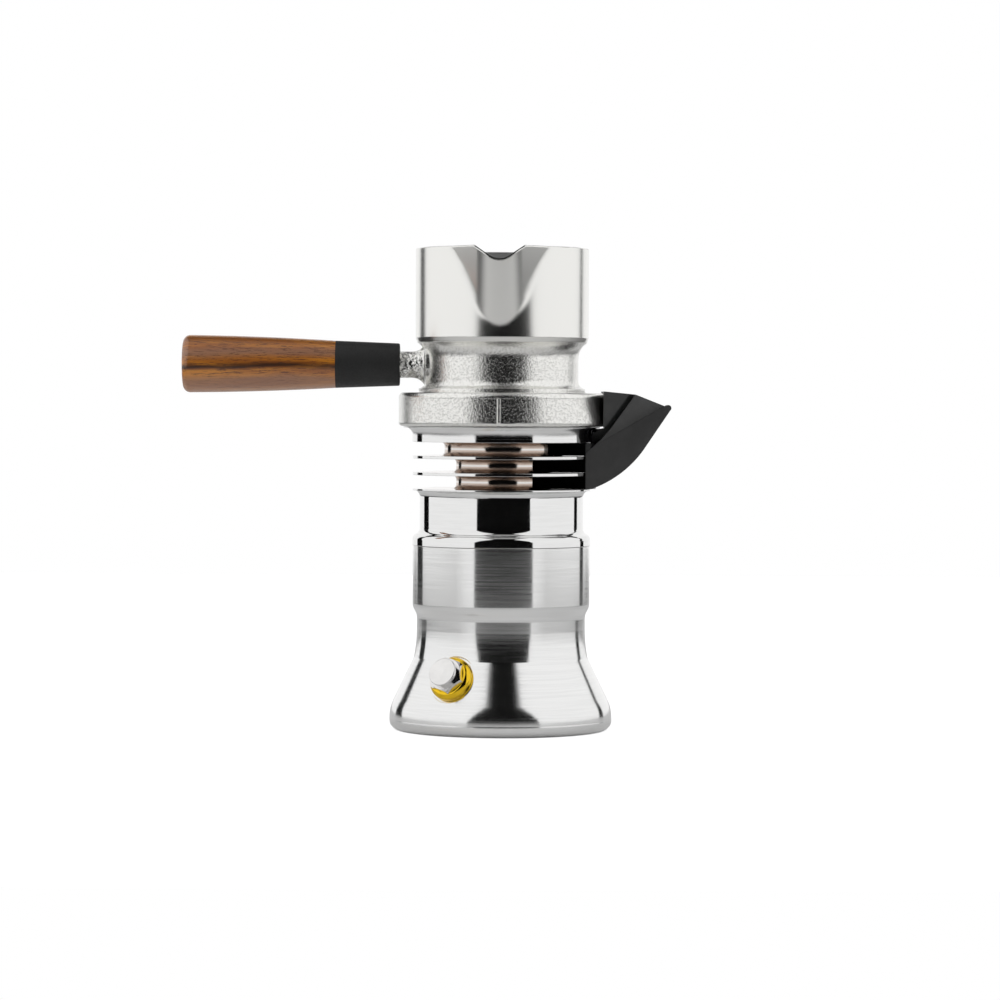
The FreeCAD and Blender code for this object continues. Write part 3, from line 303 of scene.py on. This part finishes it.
def addLights():
    # Two softboxes lean in from the sides, with dark gaps towards the camera and the back.
    # They reach below the table's edge.
    tall = studio["panelHigh"] - studio["panelLow"]
    boxes = ((-1, "softboxLeft", "panelFrontLeft"), (1, "softboxRight", "panelFrontRight"))
    for side, name, front in boxes:
        near = placeAt(studio[front], side, studio["panelNear"])
        far = placeAt(studio["panelBack"], side, studio["panelFar"])
        lean = Vector((-side * studio["panelLean"] * tall / studio["panelHigh"], 0, tall))
        addPanel(name, (near, far, far + lean, near + lean), studio["panelGlow"])
    left = placeAt(studio["backLightLeft"], -1, studio["backLightDepth"])
    right = placeAt(studio["backLightRight"], 1, studio["backLightDepth"])
    up = Vector((0, 0, studio["backHigh"] - studio["panelLow"]))
    addPanel("backLight", (left, right, right + up, left + up), studio["backGlow"])


def addWorld():
    # The camera sees plain white behind the part. The metal mirrors a dark room with a
    # dim ceiling.
    world = bpy.data.worlds.new("room")
    bpy.context.scene.world = world
    world.use_nodes = True
    tree = world.node_tree
    tree.nodes.clear()
    output = addNode(tree, "ShaderNodeOutputWorld")
    place = addNode(tree, "ShaderNodeTexCoord")
    split = addNode(tree, "ShaderNodeSeparateXYZ")
    tree.links.new(place.outputs["Generated"], split.inputs["Vector"])
    glow = ramp(tree, split.outputs["Z"], *studio["ceilingSpan"],
                studio["gapGlow"], studio["ceilingGlow"])
    room = addNode(tree, "ShaderNodeBackground")
    tree.links.new(glow, room.inputs["Strength"])
    white = addNode(tree, "ShaderNodeBackground")
    white.inputs["Strength"].default_value = 1.0
    for background in (room, white):
        background.inputs["Color"].default_value = (1, 1, 1, 1)
    path = addNode(tree, "ShaderNodeLightPath")
    mix = addNode(tree, "ShaderNodeMixShader")
    tree.links.new(path.outputs["Is Camera Ray"], mix.inputs["Fac"])
    tree.links.new(room.outputs[0], mix.inputs[1])
    tree.links.new(white.outputs[0], mix.inputs[2])
    tree.links.new(mix.outputs[0], output.inputs["Surface"])


def addFloor():
    # A bright table for the camera, and a duller one in what the metal mirrors, with painted shade away
    # from the part and towards the sides.
    mesh = bpy.data.meshes.new("floor")
    half, front, back = studio["floorHalf"], studio["floorFront"], studio["floorBack"]
    corners = [(-half, -front, 0), (half, -front, 0), (half, back, 0), (-half, back, 0)]
    mesh.from_pydata(corners, [], [(0, 1, 2, 3)])
    floor = bpy.data.objects.new("floor", mesh)
    bpy.context.scene.collection.objects.link(floor)
    material = bpy.data.materials.new("floorWhite")
    material.use_nodes = True
    tree = material.node_tree
    tree.nodes.clear()
    output = addNode(tree, "ShaderNodeOutputMaterial")
    seen = addNode(tree, "ShaderNodeBsdfDiffuse")
    seen.inputs["Color"].default_value = (*studio["floorColor"], 1)
    glow = addNode(tree, "ShaderNodeEmission")
    glow.inputs["Strength"].default_value = studio["floorGlow"]
    both = addNode(tree, "ShaderNodeAddShader")
    tree.links.new(seen.outputs[0], both.inputs[0])
    tree.links.new(glow.outputs[0], both.inputs[1])
    mirrored = addNode(tree, "ShaderNodeBsdfDiffuse")
    x, y = placeOf(tree)[:2]
    away = awayOf(tree, x, y)
    fade = studio["floorSideFade"]
    shade = ramp(tree, away, *studio["floorFade"], studio["floorNear"], studio["floorFar"])
    # Painted shade towards both sides, stronger on the left.
    right = ramp(tree, x, *fade, 1, 1 - studio["floorShadeRight"])
    left = ramp(tree, product(tree, x, -1), *fade, 1, 1 - studio["floorShadeLeft"])
    sides = product(tree, left, right)
    tree.links.new(product(tree, shade, sides), mirrored.inputs["Color"])
    path = addNode(tree, "ShaderNodeLightPath")
    mix = addNode(tree, "ShaderNodeMixShader")
    tree.links.new(path.outputs["Is Camera Ray"], mix.inputs["Fac"])
    tree.links.new(mirrored.outputs[0], mix.inputs[1])
    tree.links.new(both.outputs[0], mix.inputs[2])
    tree.links.new(mix.outputs[0], output.inputs["Surface"])
    mesh.materials.append(material)


bpy.context.scene.view_settings.view_transform = "Standard"
addCamera()
addLights()
addWorld()
addFloor()
print("studio ready")


latheLines = {
    "fine": (1, 2, 0.6),
    "wide": (1, 2, 0.5),
    "fineShare": 0.55,
    "contrast": (0.36, 0.64),
    "depth": 0.1 * mm,
    "turn": 0.25,
}


def turnedSteel(name, values):
    # Lines round the axis, as a lathe leaves them, which spread the highlights up and down.
    color, roughness = values["color"], values["roughness"]
    material, tree, shader = newMaterial(name, color, roughness, 1.0, Anisotropic=values["spread"],
                                         Anisotropic_Rotation=latheLines["turn"])
    tangent = addNode(tree, "ShaderNodeTangent", direction_type="RADIAL", axis="Z")
    tree.links.new(tangent.outputs[0], shader.inputs["Tangent"])
    fine = noise(tree, *latheLines["fine"], values["fineLines"])
    wide = noise(tree, *latheLines["wide"], values["wideLines"])
    both = weigh(tree, latheLines["fineShare"], fine, wide)
    edge = values["edge"]
    edges = edge(tree) if callable(edge) else softEdges(tree, edge)
    bump(tree, shader, both, values["lineHeight"], latheLines["depth"], edges)
    share = ramp(tree, both, *latheLines["contrast"])
    low, high = roughness * (1 - values["roughChange"]), roughness * (1 + values["roughChange"])
    tree.links.new(blend(tree, share, low, high), shader.inputs["Roughness"])
    dark = tuple(c * (1 - values["lineShade"]) for c in color)
    setColor(tree, shader, mixColor(tree, share, color, dark))
    return material, tree, shader


# The gaps between the fins lie between these two heights.
finGaps = (103.0 * mm, 123.2 * mm)

boilerFinish = {
    "color": (0.84, 0.84, 0.835),
    "roughness": 0.153,
    "spread": 0.8,
    "fineLines": (40, 40, 3000),
    "wideLines": (22, 22, 1500),
    "lineHeight": 0.017,
    "lineShade": 0.04,
    "roughChange": 0.15,
    "edge": 0.3 * mm,
}

bodyFinish = {
    "color": (0.8, 0.8, 0.795),
    "roughness": 0.07,
    "spread": 0.6,
    "fineLines": (60, 60, 1500),
    "wideLines": (40, 40, 700),
    "lineHeight": 0.03,
    "lineShade": 0.03,
    "roughChange": 0.3,
    "edge": 0.25 * mm,
    "rootEdge": 1.9 * mm,
    "ringEdge": 2.2 * mm,
    "gapMiddle": 106.02 * mm,
    "gapPitch": 7.05 * mm,
    "paintedHighlightSpan": (0.15 * mm, 0.6 * mm),
    "highlightShadeShare": 0.3,
    "ring": (124.4 * mm, 130.0 * mm),
    "root": (33.5 * mm, 36.0 * mm),
    "rootPaintedShade": (0.56, 0.47, 0.41),
}

threadShape = {
    "pitch": 2.0 * mm,
    "depth": 0.9 * mm,
    "radii": (32.5 * mm, 33.1 * mm),
    "span": (69.2 * mm, 77.2 * mm),
}


def bodyEdges(tree):
    # Wide rounding in the fins' roots and on the ring, and crisp edges elsewhere.
    values = bodyFinish
    x, y, z = placeOf(tree)
    away = awayOf(tree, x, y)
    inner = mathNode(tree, "LESS_THAN", away, values["root"][1])
    root = product(tree, inner, between(tree, z, *finGaps))
    ring = between(tree, z, *values["ring"])
    width = blend(tree, root, values["edge"], values["rootEdge"])
    width = mathNode(tree, "MULTIPLY_ADD", ring, values["ringEdge"] - values["edge"], width)
    return threadOn(tree, softEdges(tree, width))


def threadOn(tree, edges):
    # Right-handed thread round the spigot, which shows when the upper body is screwed out.
    values = threadShape
    x, y, z = placeOf(tree)
    away = awayOf(tree, x, y)
    turn = product(tree, mathNode(tree, "ARCTAN2", y, x), -0.5 / math.pi)
    turn = mathNode(tree, "FRACT", mathNode(tree, "MULTIPLY_ADD", z, 1 / values["pitch"], turn))
    # The flank runs between nought and a half, so the bump takes twice the depth.
    flank = difference(tree, turn, 0.5)
    spigot = product(tree, between(tree, away, *values["radii"]), between(tree, z, *values["span"]))
    node = addNode(tree, "ShaderNodeBump", Distance=values["depth"] * 2)
    tree.links.new(product(tree, flank, spigot), node.inputs["Height"])
    tree.links.new(edges, node.inputs["Normal"])
    return node.outputs["Normal"]


def polishedBody():
    # Polished, with a warm painted shade and reflection where the fins' roots mirror each other, weaker
    # in the middle of each gap as a painted highlight line.
    values = bodyFinish
    material, tree, shader = turnedSteel("polishedNickel", {**values, "edge": bodyEdges})
    x, y, z = placeOf(tree)
    away = awayOf(tree, x, y)
    share = product(tree, ramp(tree, away, *values["root"], 1.0, 0.0), between(tree, z, *finGaps))
    # How far the point is above or below the middle of its gap.
    pitch = values["gapPitch"]
    gap = mathNode(tree, "MULTIPLY_ADD", z, 1 / pitch, -values["gapMiddle"] / pitch)
    aside = product(tree, difference(tree, gap, mathNode(tree, "ROUND", gap)), pitch)
    # Less painted shade near the middle of the gap, which leaves a painted highlight line.
    share = product(tree, share, ramp(tree, aside, *values["paintedHighlightSpan"], values["highlightShadeShare"], 1.0))
    setColor(tree, shader, mixColor(tree, share, plainColor(shader), values["rootPaintedShade"]))
    return material


finishes = {
    "turned_steel": turnedSteel("turnedSteel", boilerFinish)[0],
    "polished_nickel": polishedBody(),
}

castFinish = {
    "color": (0.84, 0.835, 0.81),
    "darkColor": (0.3, 0.28, 0.24),
    "insideColor": (0.66, 0.66, 0.66),
    "insideFacing": -0.3 * mm,
    "cupFade": (164.8 * mm, 166.2 * mm),
    "grain": (1200, 3, 0.7),
    "grainShare": 0.6,
    "pits": (1000, 2, 0.6),
    "pitEdges": (0.36, 0.54),
    "grainHeight": 0.09 * mm,
    "cupGrain": 0.02,
    "hollowSpan": (0.6, 0.25),
    "hollowShade": 0.16,
    "stemEnds": (-35.0 * mm, -33.0 * mm),
    "stemGrain": 0.15,
    "stemSpan": (144.6 * mm, 164.6 * mm),
    "stemLumps": (210, 3, 0.6),
    "stemHeight": 2.8 * mm,
    "stemRoughness": 0.14,
    "cupRoughness": 0.21,
    "castRoughness": 0.22,
    "insideRoughness": 0.34,
    "edge": 0.4 * mm,
    "spoutEdge": 2.5 * mm,
    "spoutLow": 170.0 * mm,
    "spoutFade": (193.0 * mm, 204.0 * mm),
    "spoutFront": 20.0 * mm,
    "notchSpan": (198.0 * mm, 205.2 * mm),
    "notchFront": 33.0 * mm,
    "notchFacing": 2.0 * mm,
    "notchUpward": 0.3,
    "notchPaintedDark": (0.02, 0.02, 0.02),
}


def spoutEdges(tree, y, z):
    # The spout grows softly out of the cup, and the other edges stay crisp.
    values = castFinish
    front = mathNode(tree, "LESS_THAN", y, -values["spoutFront"])
    above = mathNode(tree, "GREATER_THAN", z, values["spoutLow"])
    height = product(tree, above, ramp(tree, z, *values["spoutFade"], 1.0, 0.0))
    return blend(tree, product(tree, front, height), values["edge"], values["spoutEdge"])


def facingOut(tree):
    # Distance from the upright axis times the share that the face looks away from it.
    shape = addNode(tree, "ShaderNodeNewGeometry")
    flat = addNode(tree, "ShaderNodeVectorMath", operation="MULTIPLY")
    flat.inputs[1].default_value = (1, 1, 0)
    tree.links.new(shape.outputs["Position"], flat.inputs[0])
    dot = addNode(tree, "ShaderNodeVectorMath", operation="DOT_PRODUCT")
    tree.links.new(flat.outputs["Vector"], dot.inputs[0])
    tree.links.new(shape.outputs["True Normal"], dot.inputs[1])
    return dot.outputs["Value"]


def paintedNotchShade(tree, out, y, z):
    # One on the outer edge of the pouring notch, which gets a near-black painted reflection.
    values = castFinish
    shape = addNode(tree, "ShaderNodeNewGeometry")
    split = addNode(tree, "ShaderNodeSeparateXYZ")
    tree.links.new(shape.outputs["True Normal"], split.inputs["Vector"])
    upward = mathNode(tree, "GREATER_THAN", split.outputs["Z"], values["notchUpward"])
    front = mathNode(tree, "LESS_THAN", y, -values["notchFront"])
    outer = product(tree, front, mathNode(tree, "GREATER_THAN", out, values["notchFacing"]))
    return product(tree, product(tree, upward, outer), between(tree, z, *values["notchSpan"]))


def castSteel():
    # Tumbled casting on collar and neck, brushed from the shoulder of the cup up, dull inside.
    values = castFinish
    material, tree, shader = newMaterial("castSteel", values["color"], values["cupRoughness"], 1.0)
    x, y, z = placeOf(tree)
    rough = ramp(tree, z, *values["cupFade"], 1.0, 0.0)
    out = facingOut(tree)
    inside = mathNode(tree, "LESS_THAN", out, values["insideFacing"])
    grain = noise(tree, *values["grain"])
    pits = ramp(tree, noise(tree, *values["pits"]), *values["pitEdges"])
    both = weigh(tree, values["grainShare"], grain, pits)
    stem = ramp(tree, x, *values["stemEnds"], 1.0, 0.0)
    stem = product(tree, stem, between(tree, z, *values["stemSpan"]))
    coarse = product(tree, rough, blend(tree, stem, 1.0, values["stemGrain"]))
    height = product(tree, both, blend(tree, coarse, values["cupGrain"], 1.0))
    lumps = product(tree, noise(tree, *values["stemLumps"]), stem)
    edges = softEdges(tree, spoutEdges(tree, y, z))
    lumpy = bump(tree, shader, lumps, 1.0, values["stemHeight"], edges)
    bump(tree, shader, height, 1.0, values["grainHeight"], lumpy)
    cast = values["castRoughness"]
    outer = blend(tree, rough, values["cupRoughness"], cast)
    outer = mathNode(tree, "MULTIPLY_ADD", stem, values["stemRoughness"] - cast, outer)
    duller = product(tree, inside, values["insideRoughness"] - cast)
    tree.links.new(mathNode(tree, "ADD", outer, duller), shader.inputs["Roughness"])
    deep = product(tree, coarse, values["hollowShade"])
    hollow = product(tree, ramp(tree, both, *values["hollowSpan"]), deep)
    color = mixColor(tree, hollow, values["color"], values["darkColor"])
    color = mixColor(tree, inside, color, values["insideColor"])
    # The notch's edge gets a near-black painted reflection.
    setColor(tree, shader, mixColor(tree, paintedNotchShade(tree, out, y, z), color, values["notchPaintedDark"]))
    return material


finishes["cast_steel"] = castSteel()


grainEdges = (0.3, 0.7)

metalGrain = {
    "grain": (900, 3, 0.6),
    "patches": (120, 3, 0.6),
    "patchEdges": (0.35, 0.65),
    "patchShade": 0.93,
    "roughShares": (0.8, 1.25),
    "strength": 0.1,
    "height": 0.03 * mm,
}


def plainMetal(name, color, roughness):
    # Fine grain, with slightly darker patches.
    values = metalGrain
    material, tree, shader = newMaterial(name, color, roughness, 1.0)
    grain = noise(tree, *values["grain"])
    low, high = (roughness * share for share in values["roughShares"])
    tree.links.new(ramp(tree, grain, *grainEdges, low, high), shader.inputs["Roughness"])
    patches = ramp(tree, noise(tree, *values["patches"]), *values["patchEdges"])
    dark = tuple(c * values["patchShade"] for c in color)
    setColor(tree, shader, mixColor(tree, patches, color, dark))
    bump(tree, shader, grain, values["strength"], values["height"])
    return material


metals = {
    "steel_tube": {"name": "steelTube", "color": (0.62, 0.62, 0.62), "roughness": 0.18},
    "steel_sheet": {"name": "steelSheet", "color": (0.66, 0.66, 0.66), "roughness": 0.25},
    "spring_steel": {"name": "springSteel", "color": (0.55, 0.55, 0.56), "roughness": 0.2},
    "yellow_brass": {"name": "yellowBrass", "color": (0.9, 0.58, 0.03), "roughness": 0.13},
    "plated_brass": {"name": "platedBrass", "color": (0.82, 0.81, 0.8), "roughness": 0.1},
    "brass": {"name": "brass", "color": (0.75, 0.56, 0.26), "roughness": 0.22},
}
for slot, metal in metals.items():
    finishes[slot] = plainMetal(**metal)

softGrain = {
    "grain": (4, 0.6),
    "patches": (3, 0.6),
    "patchShare": 0.05,
    "shares": (0.85, 1.15),
    "height": 0.05 * mm,
}


def plainSoft(name, color, roughness, grainSize, strength):
    # Fine grain, with patches a little darker and paler than the colour.
    values = softGrain
    material, tree, shader = newMaterial(name, color, roughness)
    grain = noise(tree, grainSize, *values["grain"])
    low, high = (roughness * share for share in values["shares"])
    tree.links.new(ramp(tree, grain, *grainEdges, low, high), shader.inputs["Roughness"])
    patches = noise(tree, grainSize * values["patchShare"], *values["patches"])
    dark, pale = (tuple(min(1, c * share) for c in color) for share in values["shares"])
    setColor(tree, shader, mixColor(tree, ramp(tree, patches, *grainEdges), dark, pale))
    bump(tree, shader, grain, strength, values["height"])
    return material


softOnes = {
    "silicone": {"name": "silicone", "color": (0.6, 0.58, 0.54), "roughness": 0.55,
                 "grainSize": 900, "strength": 0.2},
    "black_sleeve": {"name": "blackSleeve", "color": (0.0175, 0.0178, 0.018), "roughness": 0.62,
                     "grainSize": 1800, "strength": 0.3},
}
for slot, soft in softOnes.items():
    finishes[slot] = plainSoft(**soft)

gripFinish = {
    "color": (0.05, 0.05, 0.05),
    "roughness": 0.4,
    "grainSize": 1600,
    "grainStrength": 0.35,
    "creaseEdge": 0.5 * mm,
    "creaseBend": (0.965, 0.995),
    "creaseShadeShare": 0.8,
    "creasePaintedShade": (0.012, 0.012, 0.012),
    "shadeRadius": 38.4 * mm,
    "shadeColor": (0.004, 0.004, 0.004),
}


def gripPlastic():
    # Satin plastic with painted shade along its creases and edges, and near-black painted shade between
    # the fins, where it gets no light.
    values = gripFinish
    material = plainSoft("blackPlastic", values["color"], values["roughness"],
                         values["grainSize"], values["grainStrength"])
    tree = material.node_tree
    shader = next(node for node in tree.nodes if node.type == "BSDF_PRINCIPLED")
    x, y, z = placeOf(tree)
    away = awayOf(tree, x, y)
    # Painted near-black shade inside the fins' radius, in the gaps between them.
    inner = mathNode(tree, "LESS_THAN", away, values["shadeRadius"])
    dark = product(tree, inner, between(tree, z, *finGaps))
    shape = addNode(tree, "ShaderNodeNewGeometry")
    # Painted shade where the rounded normals turn away from the true ones, at creases and edges.
    dot = addNode(tree, "ShaderNodeVectorMath", operation="DOT_PRODUCT")
    tree.links.new(softEdges(tree, values["creaseEdge"]), dot.inputs[0])
    tree.links.new(shape.outputs["True Normal"], dot.inputs[1])
    creaseShade = ramp(tree, dot.outputs["Value"], *values["creaseBend"], values["creaseShadeShare"], 0.0)
    creaseShaded = mixColor(tree, creaseShade, plainColor(shader), values["creasePaintedShade"])
    setColor(tree, shader, mixColor(tree, dark, creaseShaded, values["shadeColor"]))
    tree.links.new(dark, shader.inputs["Metallic"])
    return material


finishes["black_plastic"] = gripPlastic()

walnutFinish = {
    "light": (0.74, 0.27, 0.02),
    "middle": (0.42, 0.125, 0.012),
    "dark": (0.045, 0.012, 0.003),
    "sheen": (0.36, 0.19, 0.12),
    "roughness": 0.36,
    "gloss": 0.7,
    "coat": 0.6,
    "coatRoughness": 0.27,
    "drift": (1, 2, 0.5, (24, 40, 40)),
    "bands": (1, 4, 0.62, (26, 430, 430)),
    "bandShare": 0.55,
    "broad": (1, 3, 0.55, (12, 150, 150)),
    "fibres": (1, 3, 0.7, (190, 2000, 2000)),
    "pores": (1, 2, 0.6, (170, 3000, 3000)),
    "poreStrength": 0.25,
    "poreHeight": 0.05 * mm,
    "tones": (0.38, 0.6),
    "streakHeight": 155.2 * mm,
    "streakHalf": 2.1 * mm,
    "streakWave": 2.4 * mm,
    "streakBreaks": (0.35, 0.55, 0.65, 1.0),
    "sheenHeight": 150.9 * mm,
    "sheenBlend": 1.8 * mm,
    "sheenShare": 0.65,
    "sheenBandHeight": 161.0 * mm,
    "sheenBandHalf": 3.4 * mm,
    "sheenBandShare": 0.7,
    "topShadeHeight": (162.5 * mm, 167.0 * mm),
    "topShadeShare": 0.25,
    "dashes": (0.52, 0.64, 0, 0.75),
    "fibreRoughness": (0.3, 0.7, 0.3, 0.46),
}


def walnut():
    # Long irregular grain along the handle and a dark streak at mid height, with a pinkish painted
    # sheen on the lower side and in a band above the streak, and painted shade along the top.
    values = walnutFinish
    material, tree, shader = newMaterial("walnut", values["middle"], values["roughness"],
                                         Specular_IOR_Level=values["gloss"], Coat_Weight=values["coat"],
                                         Coat_Roughness=values["coatRoughness"])
    drift, bands, broad, fibres, pores = (noise(tree, *values[name]) for name in
                                          ("drift", "bands", "broad", "fibres", "pores"))
    tone = weigh(tree, values["bandShare"], bands, broad)
    color = mixColor(tree, ramp(tree, tone, *values["tones"]), values["light"], values["middle"])
    z = placeOf(tree)[2]
    wave = values["streakWave"]
    level = mathNode(tree, "ADD", z, blend(tree, drift, -wave, wave))
    sheenLow = values["sheenHeight"] - values["sheenBlend"]
    sheenHigh = values["sheenHeight"] + values["sheenBlend"]
    # Painted sheen on the lower side.
    lower = ramp(tree, level, sheenLow, sheenHigh, values["sheenShare"], 0.0)
    color = mixColor(tree, lower, color, values["sheen"])
    # A band of painted sheen above the streak.
    aside = difference(tree, level, values["sheenBandHeight"])
    pale = ramp(tree, aside, 0, values["sheenBandHalf"], values["sheenBandShare"], 0.0)
    color = mixColor(tree, pale, color, values["sheen"])
    # Painted shade along the top.
    topShade = ramp(tree, z, *values["topShadeHeight"], 0.0, values["topShadeShare"])
    color = mixColor(tree, topShade, color, values["dark"])
    apart = difference(tree, level, values["streakHeight"])
    streak = ramp(tree, apart, 0, values["streakHalf"], 1.0, 0.0)
    streak = product(tree, streak, ramp(tree, bands, *values["streakBreaks"]))
    color = mixColor(tree, streak, color, values["dark"])
    dashes = product(tree, ramp(tree, fibres, *values["dashes"]), blend(tree, lower, 1.0, 0.0))
    setColor(tree, shader, mixColor(tree, dashes, color, values["dark"]))
    tree.links.new(ramp(tree, fibres, *values["fibreRoughness"]), shader.inputs["Roughness"])
    bump(tree, shader, pores, values["poreStrength"], values["poreHeight"])
    return material


finishes["walnut"] = walnut()

for part in frame["record"]["subparts"]:
    dress(part["node"], finishes[part["material_slot"]])
print("finishes on", len(frame["nodes"]), "nodes")


def addSpring(name, jointName):
    # The spring as the CAD has it, on a mesh of its own attached to the joint's parent body.
    joint = next(j for j in frame["record"]["behaviour"]["joints"] if j["name"] == jointName)
    row = joint["deforming_nodes"][0]
    source = frame["nodes"][row["node"]]
    spring = bpy.data.objects.new(name, source.data.copy())
    bpy.context.scene.collection.objects.link(spring)
    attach(spring, joint["parent"])
    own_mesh(spring)
    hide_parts(row["node"])


addSpring("brewSpring", "brew_valve_lift")
addSpring("reliefSpring", "safety_valve_lift")
print("springs on their valves")
